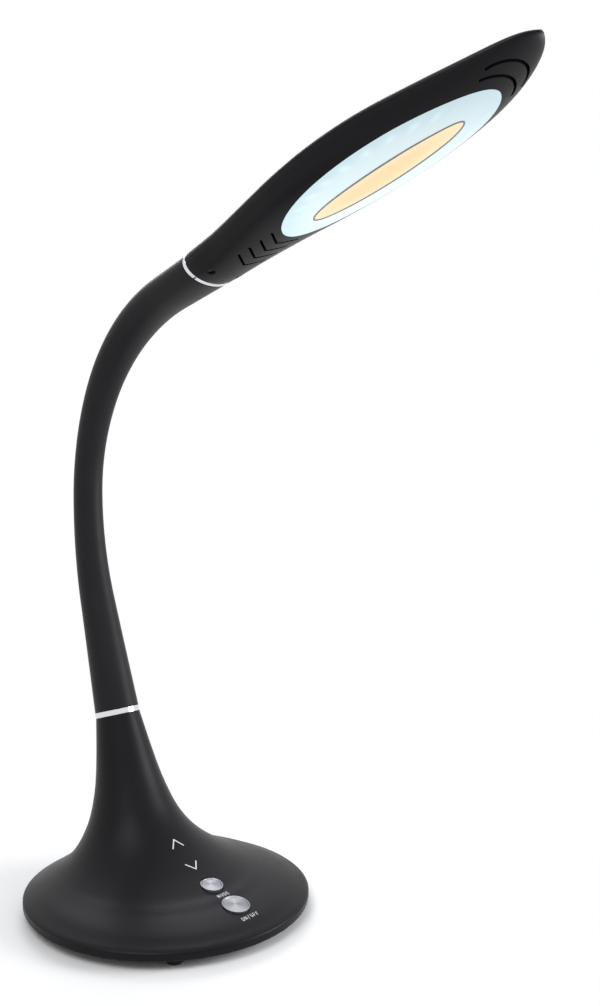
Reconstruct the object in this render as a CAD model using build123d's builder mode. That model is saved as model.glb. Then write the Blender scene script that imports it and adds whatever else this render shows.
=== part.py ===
"""Gooseneck LED desk lamp, in millimetres.

The origin is the centre of the round base, on the desk. +Z is up and +X is the front of the
lamp: the side with the buttons, over which the neck carries the head. The lamp is symmetric
about the plane y = 0.
"""

from build123d import *
import os
from math import atan2, cos, hypot, radians, sin, sqrt

os.makedirs("parts", exist_ok=True)

# ---------------------------------------------------------------- base sizes
FOOT_HEIGHT = 5.0
FOOT_RADIUS = 5.0
FOOT_INSET = 11.0
FOOT_ANGLE = 37.0
FOOT_CHAMFER = 0.8
BASE_RADIUS = 89.0
PLATE_THICKNESS = 2.0
PLATE_RIM = 4.6
PLATE_WALL = 3.4
PLATE_ROUND = 1.8
SEAM = 0.12
WALL = 2.5
DECK = 3.2

# Rings of the trumpet-shaped base, from the seam above its bottom plate to the neck, as
# shares: of the rise to the neck, of the flare beyond the neck's radius, and of the neck's
# setback from the origin.
TRUMPET = [
    (0.0, 0.996, 0.0),
    (0.0115, 0.9732, 0.0038),
    (0.0241, 0.9317, 0.0133),
    (0.0533, 0.8394, 0.0606),
    (0.0845, 0.7175, 0.1402),
    (0.1253, 0.5770, 0.2538),
    (0.1837, 0.4364, 0.3902),
    (0.2713, 0.2999, 0.5322),
    (0.3880, 0.1928, 0.6402),
    (0.5631, 0.1071, 0.7481),
    (0.7577, 0.0509, 0.8598),
]
RING_COUNT = 33
# The first ring above the shell's bottom edge at which the inside follows the outside.
HOLLOW_START = 1
LEAN_STARTS = 0.125

BALLAST_GAP = 8.4
BALLAST_THICKNESS = 8.0
BALLAST_FRONT = 18.0

PLATE_SCREW_INSET = 12.5
PLATE_SCREW_START = 45.0
POST_RADIUS = 3.4
PILOT_RADIUS = 1.05
SCREW_RADIUS = 1.0
SCREW_HEAD_RADIUS = 2.1
SCREW_HEAD_HEIGHT = 1.1
SCREW_BITE = 4.0
PLATE_SCREW_BITE = 3.6
PILOT_SPARE = 1.0
SCREW_CLEARANCE = 0.2
# The posts are drawn longer than the hollow is high and end at its ceiling.
POST_LENGTH = 30.0

# ---------------------------------------------------------------- buttons and marks
KEY_TILT = 10.5
KEY_PROUD = 0.7
KEY_TRAVEL = 0.6
KEY_WALL = 1.2
KEY_TOP = 1.5
KEY_DISH = 0.35
KEY_LAND = 0.9
KEY_FLANGE = 1.1
KEY_FLANGE_THICKNESS = 0.75
KEY_CLEARANCE = 0.3
KEY_STEM_RADIUS = 1.8
KEY_DISH_TAPER = 45.0
MODE_X = 41.0
MODE_RADIUS = 7.0
POWER_X = 62.4
POWER_RADIUS = 8.5
MARK_LINE = 0.8
MARK_HALF_WIDTH = 4.4
MARK_DEPTH = 0.8
MARK_CLEAR = 1.6
UP_MARK_X = 4.4
DOWN_MARK_X = 26.3
MARK_REACH = 5.8

BOARD_DEPTH = 9.6
BOARD_THICKNESS = 1.6
BOARD_BACK = 17.0
BOARD_FRONT = 27.6
BOARD_HALF_WIDTH = 20.0
BOARD_POST_INSET = 3.6
SWITCH_SIDE = 6.0
SWITCH_HEIGHT = 2.6
PLUNGER_RADIUS = 1.7
PLUNGER_CLEARANCE = 0.05
PLUNGER_LENGTH = 2.2
PLUNGER_RISE = 0.8
CHIP_SIDE = 5.0
CHIP_HEIGHT = 1.6
COIL_RADIUS = 3.0
COIL_HEIGHT = 3.4
PLUG_LENGTH = 5.0
PLUG_WIDTH = 7.5
PLUG_HEIGHT = 3.0

# ---------------------------------------------------------------- power inlet
# The socket's face lies in the end wall of a notch in the back of the base.
NOTCH_DEPTH = 10.0
NOTCH_HALF_WIDTH = 6.0
NOTCH_WALL = 2.0
JACK_RISE = 4.0
JACK_NOSE_RADIUS = 3.0
JACK_BORE_RADIUS = 1.9
JACK_BORE_DEPTH = 9.0
JACK_PIN_RADIUS = 0.65
JACK_NOSE_LENGTH = 2.6
JACK_BODY_LENGTH = 8.0
JACK_BODY_WIDTH = 7.0
JACK_BODY_HEIGHT = 7.0
JACK_CLEARANCE = 0.2

# ---------------------------------------------------------------- neck
NECK_SETBACK = 52.8
NECK_FOOT_HEIGHT = 112.5
NECK_LEAN = 17.0
LOWER_RUN = 74.8
BENDS = [(252.0, 16.3), (146.0, 26.6), (120.5, 45.6)]
UPPER_RUN = 37.0
RING_WIDTH = 3.4
HEAD_RING_WIDTH = 2.4
RING_PROUD = 0.25
RING_WALL = 3.2
# Outline of the rubber sleeve: share of the neck's length, half-width across the neck,
# half-thickness in the plane in which the neck bends.
SLEEVE = [
    (0.0, 14.3, 14.3),
    (0.1, 12.8, 12.8),
    (0.2, 11.4, 11.4),
    (0.3, 10.3, 10.3),
    (0.4, 9.7, 9.6),
    (0.5, 9.7, 9.5),
    (0.6, 10.7, 9.8),
    (0.7, 12.5, 10.2),
    (0.8, 14.8, 10.5),
    (0.9, 17.3, 10.7),
    (1.0, 19.4, 10.8),
]
SLEEVE_BORE = 7.2
JOINT_COUNT = 9
END_JOINT_REACH = 22.0

LINK_RADIUS = 5.3
BALL_RADIUS = 4.1
BALL_CLEARANCE = 0.07
BALL_TOP = 2.3
BALL_RIM = 0.3
LINK_STEM_RADIUS = 2.8
LINK_STEM_LENGTH = 7.5
LINK_BORE = 1.6
LINK_CHAMFER = 1.2
LEAD_RADIUS = 1.1
LEAD_GAP = 0.6
LEAD_SPREAD = 1.9
LEAD_STUB = 6.0
LEAD_TURN = 3.0
NECK_LEAD_TURN = 12.0
NECK_LEAD_RUN = 18.0
HEAD_LEAD_TURN = 36.0
FERRULE_RADIUS = 4.8
FERRULE_CLEARANCE = 0.12
FERRULE_TAIL = 11.0
FLANGE_RADIUS = 7.4
FLANGE_THICKNESS = 1.6
NUT_FLATS = 12.0
NUT_HEIGHT = 3.6

# ---------------------------------------------------------------- head
LENS_START = 64.0
COOL_HALF_LENGTH = 71.0
COOL_HALF_WIDTH = 26.2
WARM_HALF_LENGTH = 49.5
WARM_HALF_WIDTH = 9.2
TIP_LENGTH = 28.0
LENS_CENTRE = LENS_START + COOL_HALF_LENGTH
HEAD_LENGTH = LENS_CENTRE + COOL_HALF_LENGTH + TIP_LENGTH
HEAD_WALL = 2.2
BULKHEAD = 3.4
HEAD_SEAM = 0.2
# Ribs of the leaf-shaped head: distance from the neck, half-width, height of the seam
# between the two shells, lowest point and highest point, measured from the neck's axis.
HEAD = [
    (HEAD_RING_WIDTH / 2, SLEEVE[-1][1] + 0.2, 1.0, -SLEEVE[-1][2], SLEEVE[-1][2]),
    (15.0, 21.2, 1.4, -10.9, 11.0),
    (32.0, 23.2, 2.0, -10.4, 11.3),
    (LENS_START - 4.0, COOL_HALF_WIDTH + 2.2, 3.1, -9.8, 12.1),
    (LENS_CENTRE - 45.0, COOL_HALF_WIDTH + 7.4, 4.2, -10.2, 13.2),
    (LENS_CENTRE - 15.0, COOL_HALF_WIDTH + 9.8, 4.9, -10.4, 14.2),
    (LENS_CENTRE + 15.0, COOL_HALF_WIDTH + 8.7, 4.8, -9.9, 14.0),
    (LENS_CENTRE + 45.0, COOL_HALF_WIDTH + 3.4, 4.1, -8.5, 12.4),
    (HEAD_LENGTH - 31.0, 23.7, 4.3, -4.7, 11.1),
    (HEAD_LENGTH - 15.0, 16.9, 5.6, 0.4, 11.3),
    (HEAD_LENGTH - 6.5, 10.8, 7.1, 3.9, 11.3),
    (HEAD_LENGTH - 2.0, 5.0, 8.2, 6.5, 10.6),
    (HEAD_LENGTH, 1.6, 8.7, 8.0, 10.0),
]
RIB_COUNT = 18
LENS_REACH = 60.0
LENS_CLEARANCE = 0.15
RIM_WIDTH = 0.9
RIM_PROUD = 0.3

VENT_WIDTH = 1.5
CHEVRON_START = 27.7
CHEVRON_PITCH = 9.1
CHEVRON_COUNT = 4
CHEVRON_REACH = 7.3
CHEVRON_HALF_WIDTH = 10.6
# Curved vents: how far their middle and their ends lie from the tip, and half their span.
TIP_VENTS = [(12.5, 23.7, 15.2), (20.5, 28.7, 13.5)]
TIP_VENT_ROOF = 3.8

LED_BOARD_HEIGHT = 1.2
LED_BOARD_THICKNESS = 1.2
LED_BOARD_MARGIN = 1.6
LED_SIZE = (3.5, 2.8, 0.8)
COOL_LED_COUNT = 26
COOL_LED_INSET = 8.0
WARM_LED_COUNT = 9
WARM_LED_PITCH = 9.6
WARM_LED_ROW = 3.4
HEAD_SCREW_U = 11.6
HEAD_SCREW_Y = 11.0
HEAD_SCREW_HOLE = 2.4
HEAD_POST_RADIUS = 3.9
HEAD_SCREW_SEAT = 3.6
HEAD_SCREW_BITE = 6.0
HEAD_CAVITY_END = 8.0

kept = []


def finish(piece, name):
    """Labels a finished piece and writes it as its own STEP file."""
    piece.part.label = name
    export_step(piece.part, f"parts/{name}.step")
    kept.append(name)


def between(rows, where):
    """Reads a row of a table at a place between two of its rows."""
    for low, high in zip(rows, rows[1:]):
        if where <= high[0]:
            break
    share = (where - low[0]) / (high[0] - low[0])
    return [a + share * (b - a) for a, b in zip(low, high)]


def smoothed(rows, count):
    """Evenly spaced rows of the smooth curve that runs through a table's rows."""
    travel = [0.0]
    for low, high in zip(rows, rows[1:]):
        travel.append(travel[-1] + hypot(high[0] - low[0], high[1] - low[1]))
    rates = []
    for index in range(len(rows)):
        before = max(index - 1, 0)
        after = min(index + 1, len(rows) - 1)
        run = travel[after] - travel[before]
        rates.append([(b - a) / run for a, b in zip(rows[before], rows[after])])
    even = []
    for step in range(count):
        target = travel[-1] * step / (count - 1)
        index = max(n for n in range(len(rows) - 1) if travel[n] <= target)
        run = travel[index + 1] - travel[index]
        t = (target - travel[index]) / run
        starts = zip(rows[index], rows[index + 1], rates[index], rates[index + 1])
        even.append([
            (2 * t**3 - 3 * t**2 + 1) * a
            + (3 * t**2 - 2 * t**3) * b
            + run * ((t**3 - 2 * t**2 + t) * rate_a + (t**3 - t**2) * rate_b)
            for a, b, rate_a, rate_b in starts
        ])
    return even


def leaning_plane(x, z, lean):
    """A plane square to an axis that leans by an angle from the vertical towards +X."""
    tilt = radians(lean)
    return Plane(origin=(x, 0, z), x_dir=(0, 1, 0), z_dir=(sin(tilt), 0, cos(tilt)))


# ================================================================ neck line
lean_in = radians(NECK_LEAN)
neck_start = (-NECK_SETBACK, NECK_FOOT_HEIGHT)
lower_end = (
    neck_start[0] - LOWER_RUN * sin(lean_in),
    neck_start[1] + LOWER_RUN * cos(lean_in),
)
with BuildLine(Plane.XZ) as neck_line:
    reach = Line(neck_start, lower_end)
    for bend_radius, bend_angle in BENDS:
        reach = JernArc(reach @ 1, reach % 1, bend_radius, -bend_angle)
    Line(reach @ 1, reach @ 1 + (reach % 1) * UPPER_RUN)
neck = neck_line.wire()
NECK_LENGTH = neck.length


def neck_plane(distance):
    """The plane square to the neck's centreline at a distance along it."""
    here = neck.position_at(distance, PositionMode.LENGTH)
    along = neck.tangent_at(distance, PositionMode.LENGTH)
    return Plane(origin=here, x_dir=(0, 1, 0), z_dir=along)


foot_plane = neck_plane(0)
head_plane = neck_plane(NECK_LENGTH)
head_dir = head_plane.z_dir
head_up = Vector(-head_dir.Z, 0, head_dir.X)
# Plan of the head, seen from above: x runs from the neck to the tip, y is across.
head_plan = Plane(origin=head_plane.origin, x_dir=head_dir, z_dir=head_up)

# ================================================================ base
# Each ring of the trumpet leans further back, until the last is square to the neck.
top_ring = foot_plane.offset(-RING_WIDTH / 2).origin
seam_level = FOOT_HEIGHT + PLATE_RIM + SEAM
neck_rise = NECK_FOOT_HEIGHT - seam_level
trumpet_rows = [
    (
        seam_level + rise * neck_rise,
        SLEEVE[0][1] + flare * (BASE_RADIUS - SLEEVE[0][1]),
        back * NECK_SETBACK,
    )
    for rise, flare, back in TRUMPET
]
trumpet_top = (top_ring.Z, SLEEVE[0][1], -top_ring.X)
rings = smoothed(trumpet_rows + [trumpet_top], RING_COUNT)
lean_level = seam_level + LEAN_STARTS * neck_rise


def ring_lean(height):
    """How far a ring of the trumpet leans back."""
    share = (height - lean_level) / (trumpet_top[0] - lean_level)
    return -NECK_LEAN * max(0.0, share)


def inner_ring(index):
    """A ring of the trumpet's inside, a wall's thickness in from the outside."""
    height, radius, setback = rings[index]
    before = rings[max(index - 1, 0)]
    after = rings[min(index + 1, len(rings) - 1)]
    rise = after[0] - before[0]
    spread = after[1] - before[1]
    slant = hypot(rise, spread)
    return (height + WALL * spread / slant, radius - WALL * rise / slant, setback)


def front_height(x):
    """Height of the base's front surface, on its centre line."""
    fronts = sorted((radius - setback, height) for height, radius, setback in rings[2:])
    return between(fronts, x)[1]


with BuildPart() as trumpet:
    for height, radius, setback in rings:
        with BuildSketch(leaning_plane(-setback, height, ring_lean(height))):
            Circle(radius)
    loft()

with BuildPart() as base_hollow:
    for index in range(HOLLOW_START, len(rings) - 1):
        height, radius, setback = inner_ring(index)
        with BuildSketch(leaning_plane(-setback, height, ring_lean(rings[index][0]))):
            Circle(radius)
    with BuildSketch(foot_plane.offset(-RING_WIDTH / 2 - DECK)):
        Circle(inner_ring(len(rings) - 1)[1])
    loft()
    hollow_foot = inner_ring(HOLLOW_START)
    with BuildSketch(Plane.XY.offset(hollow_foot[0])):
        with Locations((-hollow_foot[2], 0)):
            Circle(hollow_foot[1])
    extrude(amount=-hollow_foot[0])

plate_top = FOOT_HEIGHT + PLATE_THICKNESS
plate_screw_circle = BASE_RADIUS - PLATE_SCREW_INSET
key_cos = cos(radians(KEY_TILT))
key_sin = sin(radians(KEY_TILT))


def key_plane(x):
    """Plane of a button's face: x runs down the slope, z along the button's travel."""
    origin = (x, 0, front_height(x) + KEY_PROUD)
    return Plane(origin=origin, x_dir=(key_cos, 0, -key_sin), z_dir=(key_sin, 0, key_cos))


mode_plane = key_plane(MODE_X)
power_plane = key_plane(POWER_X)
power_drop = -mode_plane.to_local_coords(power_plane.origin).Z
power_along = mode_plane.to_local_coords(power_plane.origin).X
board_top = mode_plane.offset(-BOARD_DEPTH)
board_posts = [
    (x, y)
    for x in (-BOARD_BACK + BOARD_POST_INSET, BOARD_FRONT - BOARD_POST_INSET)
    for y in (-BOARD_HALF_WIDTH + BOARD_POST_INSET, BOARD_HALF_WIDTH - BOARD_POST_INSET)
]
button_foot = BOARD_DEPTH - SWITCH_HEIGHT - PLUNGER_RISE
with BuildPart() as base_posts:
    with BuildSketch(Plane.XY.offset(plate_top + SEAM)):
        with PolarLocations(plate_screw_circle, 4, PLATE_SCREW_START):
            Circle(POST_RADIUS)
    extrude(amount=POST_LENGTH)
    with BuildSketch(board_top):
        with Locations(*board_posts):
            Circle(POST_RADIUS)
    extrude(amount=POST_LENGTH)
    with BuildSketch(Plane.XY.offset(plate_top + SEAM)):
        with PolarLocations(plate_screw_circle, 4, PLATE_SCREW_START):
            Circle(PILOT_RADIUS)
    extrude(amount=PLATE_SCREW_BITE + PILOT_SPARE, mode=Mode.SUBTRACT)
    with BuildSketch(board_top):
        with Locations(*board_posts):
            Circle(PILOT_RADIUS)
    extrude(amount=SCREW_BITE + PILOT_SPARE, mode=Mode.SUBTRACT)


def mark_plane(x):
    """Plane that touches the base's front at a place on its centre line."""
    drop = front_height(x - 1) - front_height(x + 1)
    slope = atan2(drop, 2)
    return Plane(
        origin=(x, 0, front_height(x)),
        x_dir=(cos(slope), 0, -sin(slope)),
        z_dir=(sin(slope), 0, cos(slope)),
    )


def mark_prism(x, reach):
    """A V of even line width, sunk through the skin at a place on the base's front."""
    with BuildPart() as prism:
        with BuildSketch(mark_plane(x).offset(-MARK_DEPTH)):
            with BuildLine():
                Polyline((reach, MARK_HALF_WIDTH), (0, 0), (reach, -MARK_HALF_WIDTH))
            trace(line_width=MARK_LINE)
        extrude(amount=MARK_DEPTH + MARK_CLEAR)
    return prism.part


marks = {
    "up_mark": mark_prism(UP_MARK_X, MARK_REACH),
    "down_mark": mark_prism(DOWN_MARK_X, -MARK_REACH),
}

jack_face = NOTCH_DEPTH - BASE_RADIUS
jack_height = plate_top + JACK_RISE
with BuildPart() as notch:
    with BuildSketch(Plane.XY.offset(plate_top)):
        with Locations((jack_face, 0)):
            Rectangle(2 * NOTCH_DEPTH, 2 * NOTCH_HALF_WIDTH, align=(Align.MAX, Align.CENTER))
    extrude(amount=POST_LENGTH)
with BuildPart() as notch_walls:
    with BuildSketch(Plane.XY.offset(plate_top + SEAM)):
        with Locations((jack_face + NOTCH_WALL, 0)):
            Rectangle(
                2 * NOTCH_DEPTH,
                2 * (NOTCH_HALF_WIDTH + NOTCH_WALL),
                align=(Align.MAX, Align.CENTER),
            )
    extrude(amount=POST_LENGTH)

with BuildPart() as base_shell:
    add(trumpet.part)
    with BuildPart(mode=Mode.PRIVATE) as hollow:
        add(base_hollow.part)
        add(base_posts.part, mode=Mode.SUBTRACT)
        add(notch_walls.part, mode=Mode.SUBTRACT)
    add(hollow.part, mode=Mode.SUBTRACT)
    add(notch.part, mode=Mode.SUBTRACT)
    with BuildSketch(mode_plane.offset(KEY_TRAVEL)):
        Circle(MODE_RADIUS + KEY_CLEARANCE)
    extrude(amount=-button_foot, mode=Mode.SUBTRACT)
    with BuildSketch(power_plane.offset(KEY_TRAVEL)):
        Circle(POWER_RADIUS + KEY_CLEARANCE)
    extrude(amount=-button_foot, mode=Mode.SUBTRACT)
    with BuildSketch(foot_plane.offset(-RING_WIDTH)):
        Circle(FERRULE_RADIUS + FERRULE_CLEARANCE)
    extrude(amount=DECK + RING_WIDTH, both=True, mode=Mode.SUBTRACT)
    with BuildSketch(Plane.YZ.offset(jack_face)):
        with Locations((0, jack_height)):
            Circle(JACK_NOSE_RADIUS + JACK_CLEARANCE)
    extrude(amount=NOTCH_DEPTH, mode=Mode.SUBTRACT)
    for prism in marks.values():
        add(prism, mode=Mode.SUBTRACT)
finish(base_shell, "base_shell")

for name, prism in marks.items():
    with BuildPart() as mark:
        add(trumpet.part)
        add(prism, mode=Mode.INTERSECT)
    finish(mark, name)

# The plate is a shallow pan: its rim carries the shell, its floor the feet and the ballast.
with BuildPart() as base_plate:
    with BuildSketch(Plane.XY.offset(FOOT_HEIGHT)):
        Circle(BASE_RADIUS)
    extrude(amount=PLATE_RIM)
    fillet(base_plate.edges().group_by(Axis.Z)[0], PLATE_ROUND)
    with BuildSketch(Plane.XY.offset(plate_top)):
        Circle(BASE_RADIUS - PLATE_WALL)
    extrude(amount=PLATE_RIM, mode=Mode.SUBTRACT)
    add(notch.part, mode=Mode.SUBTRACT)
    with PolarLocations(plate_screw_circle, 4, PLATE_SCREW_START):
        with Locations((0, 0, FOOT_HEIGHT)):
            Cylinder(
                SCREW_RADIUS + SCREW_CLEARANCE,
                PLATE_THICKNESS,
                align=(Align.CENTER, Align.CENTER, Align.MIN),
                mode=Mode.SUBTRACT,
            )
finish(base_plate, "base_plate")

with BuildPart() as base_screws:
    with BuildSketch(Plane.XY.offset(FOOT_HEIGHT)):
        with PolarLocations(plate_screw_circle, 4, PLATE_SCREW_START):
            Circle(SCREW_HEAD_RADIUS)
    extrude(amount=-SCREW_HEAD_HEIGHT)
    with BuildSketch(Plane.XY.offset(FOOT_HEIGHT)):
        with PolarLocations(plate_screw_circle, 4, PLATE_SCREW_START):
            Circle(SCREW_RADIUS)
    extrude(amount=PLATE_THICKNESS + PLATE_SCREW_BITE)
finish(base_screws, "base_screws")

foot_circle = BASE_RADIUS - FOOT_INSET
foot_x = foot_circle * cos(radians(FOOT_ANGLE))
foot_y = foot_circle * sin(radians(FOOT_ANGLE))
foot_places = [(0, 0), (foot_x, foot_y), (foot_x, -foot_y), (-foot_x, foot_y), (-foot_x, -foot_y)]
with BuildPart() as rubber_feet:
    with BuildSketch(Plane.XY):
        with Locations(*foot_places):
            Circle(FOOT_RADIUS)
    extrude(amount=FOOT_HEIGHT)
    chamfer(rubber_feet.edges().group_by(Axis.Z)[0], FOOT_CHAMFER)
finish(rubber_feet, "rubber_feet")

jack_tail = jack_face + JACK_NOSE_LENGTH + JACK_BODY_LENGTH
ballast_radius = -jack_tail - BALLAST_GAP
with BuildPart() as ballast_plate:
    with BuildSketch(Plane.XY.offset(plate_top)):
        Circle(ballast_radius)
        with Locations((BALLAST_FRONT + ballast_radius, 0)):
            Rectangle(2 * ballast_radius, 3 * ballast_radius, mode=Mode.SUBTRACT)
    extrude(amount=BALLAST_THICKNESS)
finish(ballast_plate, "ballast_plate")

# ---------------------------------------------------------------- control board
board_middle = (BOARD_FRONT - BOARD_BACK) / 2
switch_places = [(0.0, 0.0), (power_along, 0.0)]
with BuildPart() as control_board:
    with BuildSketch(board_top):
        with Locations((board_middle, 0)):
            RectangleRounded(BOARD_FRONT + BOARD_BACK, 2 * BOARD_HALF_WIDTH, POST_RADIUS)
        with Locations(*board_posts):
            Circle(SCREW_RADIUS + SCREW_CLEARANCE, mode=Mode.SUBTRACT)
    extrude(amount=-BOARD_THICKNESS)
finish(control_board, "control_board")

with BuildPart() as board_screws:
    with BuildSketch(board_top.offset(-BOARD_THICKNESS)):
        with Locations(*board_posts):
            Circle(SCREW_HEAD_RADIUS)
    extrude(amount=-SCREW_HEAD_HEIGHT)
    with BuildSketch(board_top.offset(-BOARD_THICKNESS)):
        with Locations(*board_posts):
            Circle(SCREW_RADIUS)
    extrude(amount=BOARD_THICKNESS + SCREW_BITE)
finish(board_screws, "board_screws")

side_row = BOARD_HALF_WIDTH / 2
with BuildPart() as board_components:
    with BuildSketch(board_top):
        with Locations((board_middle, side_row)):
            Rectangle(CHIP_SIDE, CHIP_SIDE)
    extrude(amount=CHIP_HEIGHT)
    with BuildSketch(board_top):
        with Locations((board_middle, -side_row)):
            Circle(COIL_RADIUS)
    extrude(amount=COIL_HEIGHT)
    with BuildSketch(board_top):
        with Locations((-BOARD_BACK + PLUG_LENGTH / 2, 0)):
            Rectangle(PLUG_LENGTH, PLUG_WIDTH)
    extrude(amount=PLUG_HEIGHT)
finish(board_components, "board_components")

with BuildPart() as tact_switches:
    with BuildSketch(board_top):
        with Locations(*switch_places):
            RectangleRounded(SWITCH_SIDE, SWITCH_SIDE, SWITCH_SIDE / 12)
    extrude(amount=SWITCH_HEIGHT)
    with BuildSketch(board_top.offset(SWITCH_HEIGHT)):
        with Locations(*switch_places):
            Circle(PLUNGER_RADIUS + PLUNGER_CLEARANCE)
    extrude(amount=-PLUNGER_LENGTH - KEY_TRAVEL + PLUNGER_RISE, mode=Mode.SUBTRACT)
finish(tact_switches, "tact_switches")

for name, place in (("mode_plunger", (0.0, 0.0)), ("power_plunger", (power_along, 0.0))):
    with BuildPart() as plunger:
        with BuildSketch(board_top.offset(SWITCH_HEIGHT + PLUNGER_RISE)):
            with Locations(place):
                Circle(PLUNGER_RADIUS)
        extrude(amount=-PLUNGER_LENGTH)
    finish(plunger, name)


def button(plane, radius, length):
    """A pressed metal cap with a dished face, a retaining flange and a stem."""
    with BuildPart() as cap:
        with BuildSketch(plane):
            Circle(radius)
        extrude(amount=-length)
        with BuildSketch(plane.offset(-length)):
            Circle(radius + KEY_FLANGE)
        extrude(amount=KEY_FLANGE_THICKNESS)
        with BuildSketch(plane.offset(-length)):
            Circle(radius - KEY_WALL)
            Circle(KEY_STEM_RADIUS, mode=Mode.SUBTRACT)
        extrude(amount=length - KEY_TOP, mode=Mode.SUBTRACT)
        with BuildSketch(plane):
            Circle(radius - KEY_LAND)
        extrude(amount=-KEY_DISH, taper=KEY_DISH_TAPER, mode=Mode.SUBTRACT)
    return cap


finish(button(mode_plane, MODE_RADIUS, button_foot), "mode_button")
finish(button(power_plane, POWER_RADIUS, button_foot - power_drop), "power_button")

# ---------------------------------------------------------------- power inlet
with BuildPart() as dc_jack:
    with BuildSketch(Plane.YZ.offset(jack_face)):
        with Locations((0, jack_height)):
            Circle(JACK_NOSE_RADIUS)
    extrude(amount=JACK_NOSE_LENGTH)
    with BuildSketch(Plane.YZ.offset(jack_face + JACK_NOSE_LENGTH)):
        with Locations((0, plate_top + JACK_BODY_HEIGHT / 2)):
            Rectangle(JACK_BODY_WIDTH, JACK_BODY_HEIGHT)
    extrude(amount=JACK_BODY_LENGTH)
    with BuildSketch(Plane.YZ.offset(jack_face)):
        with Locations((0, jack_height)):
            Circle(JACK_BORE_RADIUS)
            Circle(JACK_PIN_RADIUS, mode=Mode.SUBTRACT)
    extrude(amount=JACK_BORE_DEPTH, mode=Mode.SUBTRACT)
finish(dc_jack, "dc_jack")

# ================================================================ neck fittings


def trim_ring(plane, width, half_width, half_thickness):
    """A polished band that stands a little proud of what it trims."""
    with BuildPart() as ring:
        with BuildSketch(plane.offset(-width / 2)):
            Ellipse(half_width + RING_PROUD, half_thickness + RING_PROUD)
            Ellipse(half_width - RING_WALL, half_thickness - RING_WALL, mode=Mode.SUBTRACT)
        extrude(amount=width)
        chamfer(ring.edges().filter_by(GeomType.LINE, reverse=True), RING_PROUD / 2)
    return ring


finish(trim_ring(foot_plane, RING_WIDTH, SLEEVE[0][1], SLEEVE[0][2]), "lower_trim_ring")
finish(trim_ring(head_plane, HEAD_RING_WIDTH, SLEEVE[-1][1], SLEEVE[-1][2]), "upper_trim_ring")

joint_pitch = (NECK_LENGTH - 2 * END_JOINT_REACH) / (JOINT_COUNT - 1)
joint_centres = [
    neck.position_at(END_JOINT_REACH + n * joint_pitch, PositionMode.LENGTH)
    for n in range(JOINT_COUNT)
]
socket_radius = BALL_RADIUS + BALL_CLEARANCE
socket_roof = sqrt(socket_radius**2 - LINK_BORE**2)
ball_waist = sqrt(BALL_RADIUS**2 - LINK_STEM_RADIUS**2)
ball_brim = sqrt(BALL_RADIUS**2 - BALL_TOP**2)
bore_mouth = ball_brim - BALL_RIM


def profile_plane(plane):
    """The plane through an axis: x is the radius, y the distance along the axis."""
    return Plane(
        origin=plane.origin,
        x_dir=plane.x_dir,
        z_dir=plane.x_dir.cross(plane.z_dir),
    )


# The foot ferrule clamps the core to the base: a threaded tail, a flange and the first ball.
deck_top = -RING_WIDTH / 2
foot_shoulder = END_JOINT_REACH - LINK_STEM_LENGTH
with BuildPart() as neck_foot_ferrule:
    with BuildSketch(profile_plane(foot_plane)):
        with BuildLine():
            Polyline(
                (FERRULE_RADIUS, deck_top - FERRULE_TAIL),
                (LINK_BORE, deck_top - FERRULE_TAIL),
                (LINK_BORE, END_JOINT_REACH),
                (bore_mouth, END_JOINT_REACH + BALL_TOP),
                (ball_brim, END_JOINT_REACH + BALL_TOP),
            )
            ThreePointArc(
                (ball_brim, END_JOINT_REACH + BALL_TOP),
                (BALL_RADIUS, END_JOINT_REACH),
                (LINK_STEM_RADIUS, END_JOINT_REACH - ball_waist),
            )
            Polyline(
                (LINK_STEM_RADIUS, END_JOINT_REACH - ball_waist),
                (LINK_STEM_RADIUS, foot_shoulder),
                (LINK_RADIUS - LINK_CHAMFER, foot_shoulder),
                (LINK_RADIUS, foot_shoulder - LINK_CHAMFER),
                (LINK_RADIUS, deck_top + FLANGE_THICKNESS),
                (FLANGE_RADIUS, deck_top + FLANGE_THICKNESS),
                (FLANGE_RADIUS, deck_top),
                (FERRULE_RADIUS, deck_top),
                (FERRULE_RADIUS, deck_top - FERRULE_TAIL),
            )
        make_face()
    revolve(axis=Axis(foot_plane.origin, foot_plane.z_dir))
finish(neck_foot_ferrule, "neck_foot_ferrule")

with BuildPart() as neck_foot_nut:
    with BuildSketch(foot_plane.offset(deck_top - DECK)):
        RegularPolygon(NUT_FLATS / 2, 6, major_radius=False)
        Circle(FERRULE_RADIUS + FERRULE_CLEARANCE / 2, mode=Mode.SUBTRACT)
    extrude(amount=-NUT_HEIGHT)
finish(neck_foot_nut, "neck_foot_nut")

# The head ferrule holds the last socket and is clamped in the head's bulkhead.
flange_face = END_JOINT_REACH + HEAD_RING_WIDTH / 2
with BuildPart() as neck_head_ferrule:
    with BuildSketch(profile_plane(head_plane.offset(-END_JOINT_REACH))):
        with BuildLine():
            ThreePointArc(
                (socket_radius, 0),
                (socket_radius / sqrt(2), socket_radius / sqrt(2)),
                (LINK_BORE, socket_roof),
            )
            Polyline(
                (LINK_BORE, socket_roof),
                (LINK_BORE, END_JOINT_REACH + FERRULE_TAIL),
                (FERRULE_RADIUS, END_JOINT_REACH + FERRULE_TAIL),
                (FERRULE_RADIUS, flange_face),
                (FLANGE_RADIUS, flange_face),
                (FLANGE_RADIUS, flange_face - FLANGE_THICKNESS),
                (LINK_RADIUS, flange_face - FLANGE_THICKNESS),
                (LINK_RADIUS, 0),
                (socket_radius, 0),
            )
        make_face()
    revolve(axis=Axis(head_plane.origin, head_plane.z_dir))
finish(neck_head_ferrule, "neck_head_ferrule")

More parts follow.
